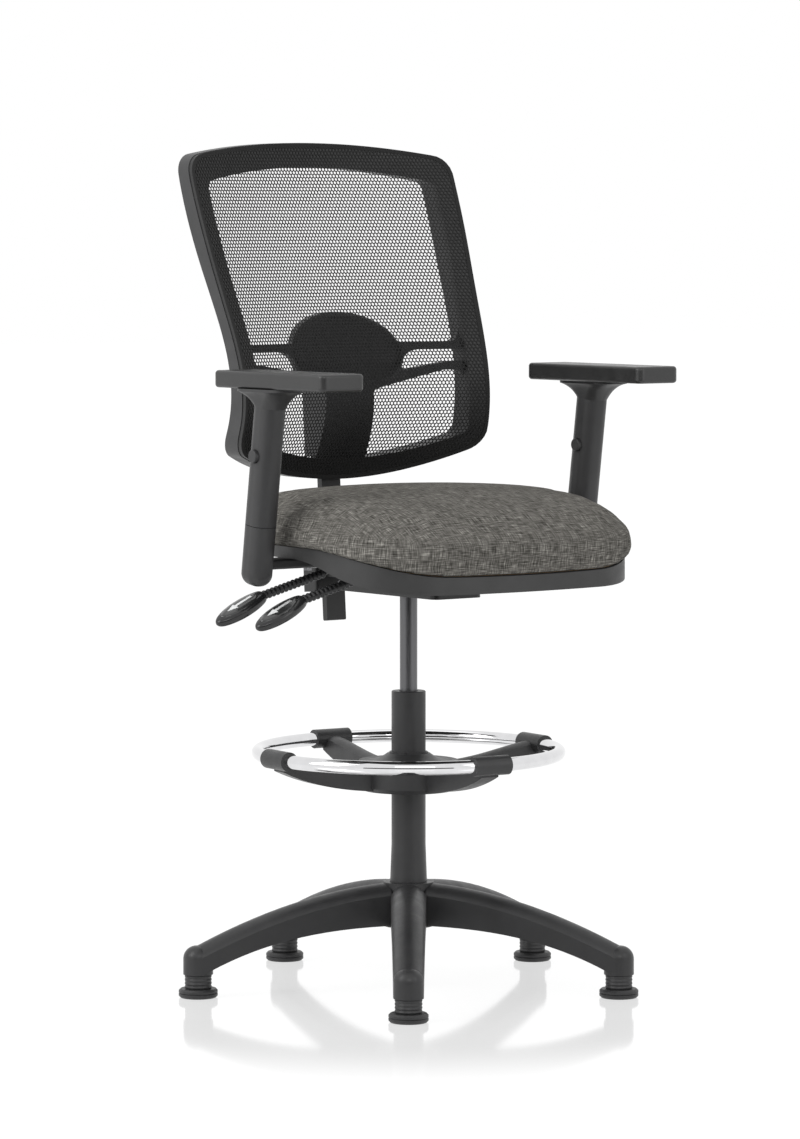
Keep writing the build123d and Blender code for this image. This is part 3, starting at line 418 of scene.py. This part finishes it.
def way_round(x, y):
    """Distance round the cushion from the middle of its front, positive on the left-hand side."""
    front, back = cloth_middle_y
    side, turned = abs(x), 0.5 * pi * cloth_corner
    over = max(0.0, side - cloth_middle_x)
    if y < front:
        way = min(side, cloth_middle_x) + cloth_corner * atan2(over, front - y)
    elif y < back:
        way = cloth_middle_x + turned + y - front
    else:
        way = cloth_middle_x + turned + back - front + cloth_corner * atan2(y - back, over)
        way += cloth_middle_x - min(side, cloth_middle_x)
    return way if x > 0 else -way


cloth_places = cushion.data.attributes.new(fabric_place, "FLOAT_VECTOR", "POINT")
for vertex, place in zip(cushion.data.vertices, cloth_places.data):
    round_edge = clipped((edge_start - vertex.normal.z) / (edge_start - edge_end))
    place.vector = (way_round(vertex.co.x, vertex.co.y), cloth_top - vertex.co.z, round_edge)
subdivided(cushion, cushion_levels)
cushion.data.polygons.foreach_set("use_smooth", [True] * len(cushion.data.polygons))


# Back mesh: a knit of six-sided holes in staggered rows, with a hem round its edge
hole_pitch = 5.85 * MM
row_pitch = 4.95 * MM
hole_share = 0.73
yarn_thickness = 0.9 * MM
knot_grid = 0.05 * MM
hem_width = 7.0 * MM
hem_inset = 0.3 * MM
# Share of the hem's width that the knit stays clear of
hem_clear = 0.4
hem_thickness = 1.2 * MM
hem_steps = 240
hem_halvings = 18
solid_depth = 1.0 * MM
cast_distance = 1.0

solid_mesh = nodes["back_mesh"].data
solid_mesh.calc_loop_triangles()
back_tree = BVHTree.FromPolygons([vertex.co for vertex in solid_mesh.vertices],
                                 [tuple(triangle.vertices) for triangle in solid_mesh.loop_triangles])
low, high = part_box("back_mesh")
middle = (low + high) / 2


def on_back(x, z):
    """Point in the middle of the mesh's thickness at a place in front view, or None outside its outline."""
    hit = back_tree.ray_cast(Vector((x, low.y - cast_distance, z)), Vector((0.0, 1.0, 0.0)))[0]
    return hit + Vector((0.0, solid_depth / 2, 0.0)) if hit else None


def from_middle(angle, reach):
    """Point of the mesh in a direction from the middle of the back, or None outside its outline."""
    return on_back(middle.x + reach * cos(angle), middle.z + reach * sin(angle))


hem_angles = [2 * pi * k / hem_steps for k in range(hem_steps)]
hem_reaches = [furthest(lambda reach: from_middle(angle, reach), (high - low).length, hem_halvings)
               for angle in hem_angles]


def within_hem(x, z):
    """True where a place is inside the hem, or under the part of it that the knit runs into."""
    turn = (atan2(z - middle.z, x - middle.x) / (2 * pi) % 1.0) * hem_steps
    first = int(turn) % hem_steps
    share = turn - int(turn)
    reach = hem_reaches[first] * (1 - share) + hem_reaches[(first + 1) % hem_steps] * share
    return hypot(x - middle.x, z - middle.z) < reach - hem_clear * hem_width


knit = bmesh.new()
knots = {}


def knot(x, z):
    """Shared point of the knit at a place in front view."""
    key = (round(x / knot_grid), round(z / knot_grid))
    if key not in knots:
        place = on_back(x, z)
        knots[key] = knit.verts.new(place) if place else None
    return knots[key]


half, tall = hole_pitch / 2, row_pitch * 2 / 3
corners = [(0, tall), (half, tall / 2), (half, -tall / 2), (0, -tall), (-half, -tall / 2), (-half, tall / 2)]
row_count = int((high.z - low.z) / row_pitch) + 1
hole_count = int((high.x - low.x) / hole_pitch) + 1
for row in range(row_count):
    z = low.z + row * row_pitch
    shift = half if row % 2 else 0.0
    for column in range(-hole_count // 2, hole_count // 2 + 1):
        x = column * hole_pitch + shift
        if not all(within_hem(x + dx, z + dz) for dx, dz in corners):
            continue
        outer = [knot(x + dx, z + dz) for dx, dz in corners]
        inner = [knot(x + dx * hole_share, z + dz * hole_share) for dx, dz in corners]
        if None not in outer + inner:
            skin(knit, [outer, inner])
back_knit = new_piece("back_knit", as_mesh("back_knit", knit), "backrest", "mesh_fabric", "back_mesh")
thickened(back_knit, yarn_thickness)

hem = bmesh.new()
skin(hem, [[hem.verts.new(from_middle(angle, reach - inset)) for angle, reach in zip(hem_angles, hem_reaches)]
           for inset in (hem_inset, hem_width)])
back_hem = new_piece("back_hem", as_mesh("back_hem", hem), "backrest", "mesh_fabric")
thickened(back_hem, hem_thickness)


# Raised face of the dome behind the mesh, with a bevelled rim
dome_half_width = 100.0 * MM
dome_half_height = 59.0 * MM
dome_z = low.z + 192.5 * MM
panel_setback = 12.0 * MM
dome_turns = 96
# Rings from the sunk edge inwards: share of the dome's size, and height over the panel in mm
dome_profile = [(1.0, -2.0), (1.0, 0.0), (0.985, 1.2), (0.95, 3.6), (0.90, 6.0), (0.86, 7.2), (0.82, 7.6),
                (0.5, 7.6), (0.2, 7.6)]
# Distances under the dome's middle over which its height fades away
fade_start, fade_end = 5.0 * MM, 45.0 * MM


def on_panel(x, z, forward):
    """Point ahead of the spine panel's front face."""
    return on_back(x, z) + Vector((0.0, solid_depth / 2 + panel_setback - forward, 0.0))


def dome_ring(draft, share, height):
    """Ring of points of the dome."""
    ring = []
    for k in range(dome_turns):
        angle = 2 * pi * k / dome_turns
        x = share * dome_half_width * cos(angle)
        drop = -share * dome_half_height * sin(angle)
        fade = clipped((fade_end - drop) / (fade_end - fade_start))
        lift = height * MM * (fade * fade * (3 - 2 * fade) if height > 0 else 1.0)
        ring.append(draft.verts.new(on_panel(x, dome_z - drop, lift)))
    return ring


dome = bmesh.new()
dome_rings = [dome_ring(dome, *level) for level in dome_profile]
skin(dome, dome_rings)
dome.faces.new(dome_rings[-1])
dome.faces.new(list(reversed(dome_rings[0])))
bmesh.ops.recalc_face_normals(dome, faces=dome.faces)
dome_face = new_piece("dome_face", as_mesh("dome_face", dome), "backrest", "frame_plastic")
dome_face.data.materials[0] = dome_look
round_sides(dome_face)


# Round webs in the corners of the frame's windows, where its bars run into the border and the dome
border_width = 30.0 * MM
panel_thickness = 13.0 * MM
upper_bar_top = low.z + 204.5 * MM
upper_bar_low = low.z + 193.5 * MM
lower_bar_top = low.z + 175.5 * MM
lower_bar_low = low.z + 162.5 * MM
border_round = 20.0 * MM
window_round = 15.0 * MM
dome_flare = 30.0 * MM
web_overlap = 3.0 * MM
web_lift = 0.2 * MM
web_steps = 10
web_halvings = 16


def opening_edge(z):
    """Half width of the frame's opening at a height."""
    return furthest(lambda reach: on_back(reach, z), high.x + border_width, web_halvings) - border_width


def corner_web(corner, first, second):
    """Outline of a web with a hollow curve from the end of one arm to the end of the other."""
    corner, first, second = Vector(corner), Vector(first), Vector(second)
    outline = [corner - web_overlap * (first.normalized() + second.normalized())]
    outline.append(corner + first - web_overlap * second.normalized())
    for k in range(web_steps + 1):
        turn = pi / 2 * k / web_steps
        outline.append(corner + first * (1 - sin(turn)) + second * (1 - cos(turn)))
    outline.append(corner + second - web_overlap * first.normalized())
    return outline


upper_edge, lower_edge = opening_edge(upper_bar_top), opening_edge(lower_bar_low)
flare_drop = lower_bar_top - upper_bar_low - web_overlap
webs = bmesh.new()
for side in (1, -1):
    for outline in (
            corner_web((side * upper_edge, upper_bar_top), (-side * border_round, 0.0), (0.0, border_round)),
            corner_web((side * lower_edge, lower_bar_low), (-side * window_round, 0.0), (0.0, -window_round)),
            corner_web((side * dome_half_width, upper_bar_low), (side * dome_flare, 0.0), (0.0, flare_drop))):
        front = [webs.verts.new(on_panel(place.x, place.y, web_lift)) for place in outline]
        back = [webs.verts.new(on_panel(place.x, place.y, -panel_thickness)) for place in outline]
        webs.faces.new(front)
        webs.faces.new(list(reversed(back)))
        skin(webs, [front, back])
bmesh.ops.recalc_face_normals(webs, faces=webs.faces)
new_piece("frame_webs", as_mesh("frame_webs", webs), "backrest", "frame_plastic")


# Levers: leaf-shaped paddles with a glossy inlay and a plain arrow, and ribbed sleeves on their stems
height_lever_y = -4.0 * MM
tilt_lever_y = -103.0 * MM
lever_reach = 268.0 * MM
lever_end_z = 596.4 * MM
paddle_slope = radians(25.0)
paddle_roll = radians(15.0)
stem_slope = radians(14.5)
# Paddle, inlay and arrow are in mm; a station is a distance along the paddle with its half width and half
# thickness there
paddle_stations = [(-2.0, 6.0, 5.0), (-0.5, 8.8, 7.0), (3.0, 11.2, 8.2), (12.0, 14.6, 9.0),
                   (26.0, 17.8, 9.3), (42.0, 18.8, 9.2), (58.0, 17.4, 8.8), (72.0, 13.8, 7.8),
                   (81.0, 9.8, 6.6), (86.0, 6.2, 5.0), (88.6, 2.8, 2.6)]
paddle_turns = 28
paddle_levels = 2
squareness = 2.8
inlay_ends = (9.0, 79.0)
inlay_share = 0.74
inlay_steps, inlay_lanes = 18, 9
inlay_depth = 1.2
inlay_sink = 0.2
inlay_crown = 1.3
# Fullness of the inlay's ends, a little over 1 so that they stay blunt
inlay_blunt = 1.02
arrow_start, arrow_neck, arrow_tip = 20, 50, 66
arrow_half, arrow_barb = 2.2, 6.0
shaft_places = [arrow_start, 28, 36, 44, arrow_neck]
arrow_outline = ([(along, -arrow_half) for along in shaft_places]
                 + [(arrow_neck, -arrow_barb), (arrow_tip, 0), (arrow_neck, arrow_barb)]
                 + [(along, arrow_half) for along in reversed(shaft_places)])
arrow_height = 0.5
sleeve_ribs = 15
sleeve_pitch = 7.6 * MM
sleeve_rib, sleeve_groove = 7.1 * MM, 5.3 * MM
sleeve_fullness = 0.7
sleeve_rings, sleeve_turns = 8, 20


def on_paddle(y, along, across, up):
    """Point on a lever's paddle, in mm along it, across it and up from its middle."""
    rolled_across = across * cos(paddle_roll) - up * sin(paddle_roll)
    rolled_up = across * sin(paddle_roll) + up * cos(paddle_roll)
    along, across, up = along * MM, rolled_across * MM, rolled_up * MM
    return (-lever_reach - along * cos(paddle_slope) - up * sin(paddle_slope), y + across,
            lever_end_z - along * sin(paddle_slope) + up * cos(paddle_slope))


def paddle_size(along):
    """Half width and half thickness of a paddle at a distance along it."""
    for (start, *first), (end, *second) in zip(paddle_stations, paddle_stations[1:]):
        if along <= end:
            share = (along - start) / (end - start)
            return [a + (b - a) * share for a, b in zip(first, second)]
    return paddle_stations[-1][1:]


def paddle_top(along, across):
    """Height of a paddle's upper face over its middle."""
    wide, thick = paddle_size(along)
    return thick * max(0.0, 1.0 - abs(across / wide) ** squareness) ** (1 / squareness)


def inlay_wide(along):
    """Half width of the inlay at a distance along its paddle."""
    start, end = inlay_ends
    share = (2 * along - start - end) / (end - start)
    return inlay_share * paddle_size(along)[0] * (inlay_blunt - share ** 4) ** 0.5


def inlay_top(along, across):
    """Height of the crowned inlay over a paddle's middle."""
    share = min(1.0, abs(across) / inlay_wide(along))
    return paddle_top(along, across) - inlay_sink + inlay_crown * (1 - share ** 2)


def powered(value):
    """A sine or cosine made fuller, for a section between an ellipse and a rectangle."""
    return abs(value) ** (2 / squareness) * (1 if value > 0 else -1)


def lever_piece(name, body, slot, rings, *replaced):
    """A piece of a lever: a skin over rings of points, with flat ends."""
    draft = bmesh.new()
    rings = [[draft.verts.new(point) for point in ring] for ring in rings]
    skin(draft, rings)
    draft.faces.new(list(reversed(rings[0])))
    draft.faces.new(rings[-1])
    bmesh.ops.recalc_face_normals(draft, faces=draft.faces)
    return new_piece(name, as_mesh(name, draft), body, slot, *replaced)


def lever_leaf(lever, y):
    """Paddle of a lever."""
    turns = [2 * pi * k / paddle_turns for k in range(paddle_turns)]
    leaf = lever_piece(f"{lever}_leaf", lever, "lever_plastic", [
        [on_paddle(y, along, wide * powered(cos(turn)), thick * powered(sin(turn))) for turn in turns]
        for along, wide, thick in paddle_stations], f"{lever}_paddle")
    round_sides(leaf)
    subdivided(leaf, paddle_levels)


def lever_inlay(lever, y):
    """Glossy inlay in a paddle's upper face."""
    start, end = inlay_ends
    rings = []
    for step in range(inlay_steps + 1):
        along = start + (end - start) * step / inlay_steps
        lanes = [inlay_wide(along) * (2 * lane / (inlay_lanes - 1) - 1) for lane in range(inlay_lanes)]
        upper = [on_paddle(y, along, across, inlay_top(along, across)) for across in lanes]
        lower = [on_paddle(y, along, across, paddle_top(along, across) - inlay_depth) for across in lanes]
        rings.append(upper + lower[::-1])
    inlay = lever_piece(f"{lever}_inlay", lever, "lever_plastic", rings)
    inlay.data.materials[0] = inlay_look
    round_sides(inlay)


def lever_mark(lever, y):
    """Plain arrow on an inlay."""
    mark = lever_piece(f"{lever}_mark", lever, "chrome", [
        [on_paddle(y, along, across, inlay_top(along, across) + lift) for along, across in arrow_outline]
        for lift in (-arrow_height, arrow_height)])
    mark.data.materials[0] = mark_look


def lever_bellows(lever, y):
    """Ribbed sleeve on a lever's stem."""
    turns = [2 * pi * k / sleeve_turns for k in range(sleeve_turns)]
    rings = []
    for step in range(sleeve_ribs * sleeve_rings + 1):
        back = step * sleeve_pitch / sleeve_rings
        swell = (0.5 - 0.5 * cos(2 * pi * step / sleeve_rings)) ** sleeve_fullness
        radius = sleeve_groove + (sleeve_rib - sleeve_groove) * swell
        rings.append([(-lever_reach + back * cos(stem_slope) - radius * sin(turn) * sin(stem_slope),
                       y + radius * cos(turn),
                       lever_end_z + back * sin(stem_slope) + radius * sin(turn) * cos(stem_slope))
                      for turn in turns])
    round_sides(lever_piece(f"{lever}_bellows", lever, "sleeve_plastic", rings, f"{lever}_sleeve"))


for lever, lever_y in (("height_lever", height_lever_y), ("tilt_lever", tilt_lever_y)):
    lever_leaf(lever, lever_y)
    lever_inlay(lever, lever_y)
    lever_mark(lever, lever_y)
    lever_bellows(lever, lever_y)


# Floor, light and camera
floor_size = 60.0
floor_sink = 0.0005
floor_white = 1.04
floor_matt = 0.8
# Shadow and mirror image on the floor: strength, and the distances from the column over which it fades
shadow_strength, shadow_reach = 0.16, (0.90, 1.50)
shadow_light = 0.75
mirror_strength, mirror_reach = 0.30, (0.50, 0.90)
mirror_roughness = 0.08
world_fill = 0.62
world_seen = 1.0
card_black = 0.01
lamp_target = Vector((0, 0, 0.7))
camera_azimuth = radians(-37.0)
camera_distance = 7.3
camera_height = 1.153
camera_pitch = radians(4.155)
camera_turn = radians(0.10)
camera_sensor = 36.0
camera_lens = 156.2


def grey(value):
    """Opaque grey for a colour socket."""
    return (value, value, value, 1.0)


def flat_card(name, size, location):
    """Square that lies flat."""
    mesh = bpy.data.meshes.new(name)
    corner = size / 2
    places = [(-corner, -corner, 0), (corner, -corner, 0), (corner, corner, 0), (-corner, corner, 0)]
    mesh.from_pydata(places, [], [(0, 1, 2, 3)])
    card = bpy.data.objects.new(name, mesh)
    card.location = location
    bpy.context.scene.collection.objects.link(card)
    return card


def blank_tree(owner):
    """Emptied node tree of a material or a world."""
    owner.use_nodes = True
    owner.node_tree.nodes.clear()
    return owner.node_tree


def joined(tree, kind, first, second):
    """Shader node of a kind that takes two shaders."""
    made = tree.nodes.new(kind)
    sockets = [socket for socket in made.inputs if socket.type == "SHADER"]
    tree.links.new(first, sockets[0])
    tree.links.new(second, sockets[1])
    return made


def by_sight(tree, other, seen, output_kind):
    """Output with one shader for the camera, reflections and glass, and another for other light."""
    path = tree.nodes.new("ShaderNodeLightPath")
    share = path.outputs["Is Camera Ray"]
    for ray in ("Is Glossy Ray", "Is Transmission Ray"):
        larger = tree.nodes.new("ShaderNodeMath")
        larger.operation = "MAXIMUM"
        tree.links.new(share, larger.inputs[0])
        tree.links.new(path.outputs[ray], larger.inputs[1])
        share = larger.outputs["Value"]
    either = joined(tree, "ShaderNodeMixShader", other, seen)
    tree.links.new(share, either.inputs["Fac"])
    tree.links.new(either.outputs["Shader"], tree.nodes.new(output_kind).inputs["Surface"])


def floor_finish():
    """White with a soft shadow and a faint mirror image that fade with distance; matt to other light."""
    look = bpy.data.materials.new("white_floor")
    tree = blank_tree(look)
    distance = tree.nodes.new("ShaderNodeVectorMath")
    distance.operation = "LENGTH"
    tree.links.new(tree.nodes.new("ShaderNodeTexCoord").outputs["Object"], distance.inputs[0])

    def faded(strength, reach):
        """A strength that falls to nothing over a span of distances from the column."""
        made = tree.nodes.new("ShaderNodeMapRange")
        made.interpolation_type = "SMOOTHSTEP"
        for socket, number in zip(("From Min", "From Max", "To Min", "To Max"), (*reach, strength, 0.0)):
            made.inputs[socket].default_value = number
        tree.links.new(distance.outputs["Value"], made.inputs["Value"])
        return made.outputs["Result"]

    def less(whole, taken, share):
        """A value less a share of another."""
        made = tree.nodes.new("ShaderNodeMath")
        made.operation = "MULTIPLY_ADD"
        tree.links.new(taken, made.inputs[0])
        made.inputs[1].default_value = -share
        tree.links.new(whole, made.inputs[2])
        return made.outputs["Value"]

    matt = tree.nodes.new("ShaderNodeBsdfDiffuse")
    matt.inputs["Color"].default_value = grey(floor_matt)
    shadowed = tree.nodes.new("ShaderNodeBsdfDiffuse")
    mirror = tree.nodes.new("ShaderNodeBsdfGlossy")
    mirror.inputs["Roughness"].default_value = mirror_roughness
    glow = tree.nodes.new("ShaderNodeEmission")
    shadow, image = faded(shadow_strength, shadow_reach), faded(mirror_strength, mirror_reach)
    tree.links.new(shadow, shadowed.inputs["Color"])
    tree.links.new(image, mirror.inputs["Color"])
    whole = tree.nodes.new("ShaderNodeValue").outputs["Value"]
    whole.default_value = floor_white
    tree.links.new(less(less(whole, image, 1.0), shadow, shadow_light), glow.inputs["Strength"])
    polished = joined(tree, "ShaderNodeAddShader", shadowed.outputs["BSDF"], mirror.outputs["BSDF"])
    white = joined(tree, "ShaderNodeAddShader", polished.outputs["Shader"], glow.outputs["Emission"])
    by_sight(tree, matt.outputs["BSDF"], white.outputs["Shader"], "ShaderNodeOutputMaterial")
    return look


def studio_world():
    """White surroundings, dimmer as light on the chair than as seen."""
    world = bpy.data.worlds.new("studio")
    tree = blank_tree(world)
    backgrounds = []
    for strength in (world_fill, world_seen):
        background = tree.nodes.new("ShaderNodeBackground")
        background.inputs["Color"].default_value = grey(1.0)
        background.inputs["Strength"].default_value = strength
        backgrounds.append(background.outputs["Background"])
    by_sight(tree, *backgrounds, "ShaderNodeOutputWorld")
    return world


def from_camera(right, ahead, up):
    """Point given by its distance to the camera's right, away from the camera and up, about the column."""
    return (right * cos(camera_azimuth) - ahead * sin(camera_azimuth),
            right * sin(camera_azimuth) + ahead * cos(camera_azimuth), up)


def dark_card(name, location, size, turn):
    """Upright black studio card that the camera doesn't see."""
    card = flat_card(name, 1.0, location)
    card.scale = (*size, 1.0)
    card.rotation_euler = (pi / 2, 0.0, camera_azimuth + turn)
    card.visible_camera = False
    card.data.materials.append(card_look)
    return card


def softbox(name, location, size, power):
    """Rectangular lamp that faces the chair."""
    light = bpy.data.lights.new(name, "AREA")
    light.shape = "RECTANGLE"
    light.size, light.size_y = size
    light.energy = power
    lamp = bpy.data.objects.new(name, light)
    lamp.location = location
    lamp.rotation_euler = (lamp_target - Vector(location)).to_track_quat("-Z", "Y").to_euler()
    bpy.context.scene.collection.objects.link(lamp)


floor = flat_card("floor", floor_size, (0, 0, -floor_sink))
floor.data.materials.append(floor_finish())
bpy.context.scene.world = studio_world()

card_look = bpy.data.materials.new("black_cloth")
card_look.use_nodes = True
card_shader = card_look.node_tree.nodes["Principled BSDF"]
card_shader.inputs["Base Color"].default_value = grey(card_black)
card_shader.inputs["Roughness"].default_value = 1.0

# A dark wall on the camera's side and a low strip nearer the chair for the chrome to reflect, both too low to
# show in the floor's mirror from most sides, and a flag that only keeps light off the right sides
dark_card("dark_wall", from_camera(0.0, -5.5, 0.575), size=(7.0, 1.35), turn=0.0)
dark_strip = dark_card("dark_strip", from_camera(0.0, -2.0, 0.18), size=(2.2, 0.36), turn=0.0)
dark_strip.visible_diffuse = False
dark_strip.visible_shadow = False
dark_flag = dark_card("dark_flag", from_camera(3.6, 0.9, 1.2), size=(2.6, 2.2), turn=pi / 2)
dark_flag.visible_glossy = False

softbox("key_left", from_camera(-2.2, -1.1, 2.0), size=(1.3, 2.0), power=28.0)
softbox("front", from_camera(0.4, -4.6, 2.6), size=(2.4, 0.9), power=24.0)
softbox("fill_right", from_camera(2.3, -1.6, 1.7), size=(1.0, 1.8), power=7.0)
softbox("top", from_camera(0.0, 0.6, 3.6), size=(2.4, 2.4), power=8.0)

camera_data = bpy.data.cameras.new("camera")
camera_data.sensor_width = camera_sensor
camera_data.lens = camera_lens
camera = bpy.data.objects.new("camera", camera_data)
camera.location = from_camera(0.0, -camera_distance, camera_height)
camera.rotation_euler = (pi / 2 - camera_pitch, 0.0, camera_azimuth + camera_turn)
bpy.context.scene.collection.objects.link(camera)
bpy.context.scene.camera = camera
bpy.context.scene.view_settings.view_transform = "Standard"
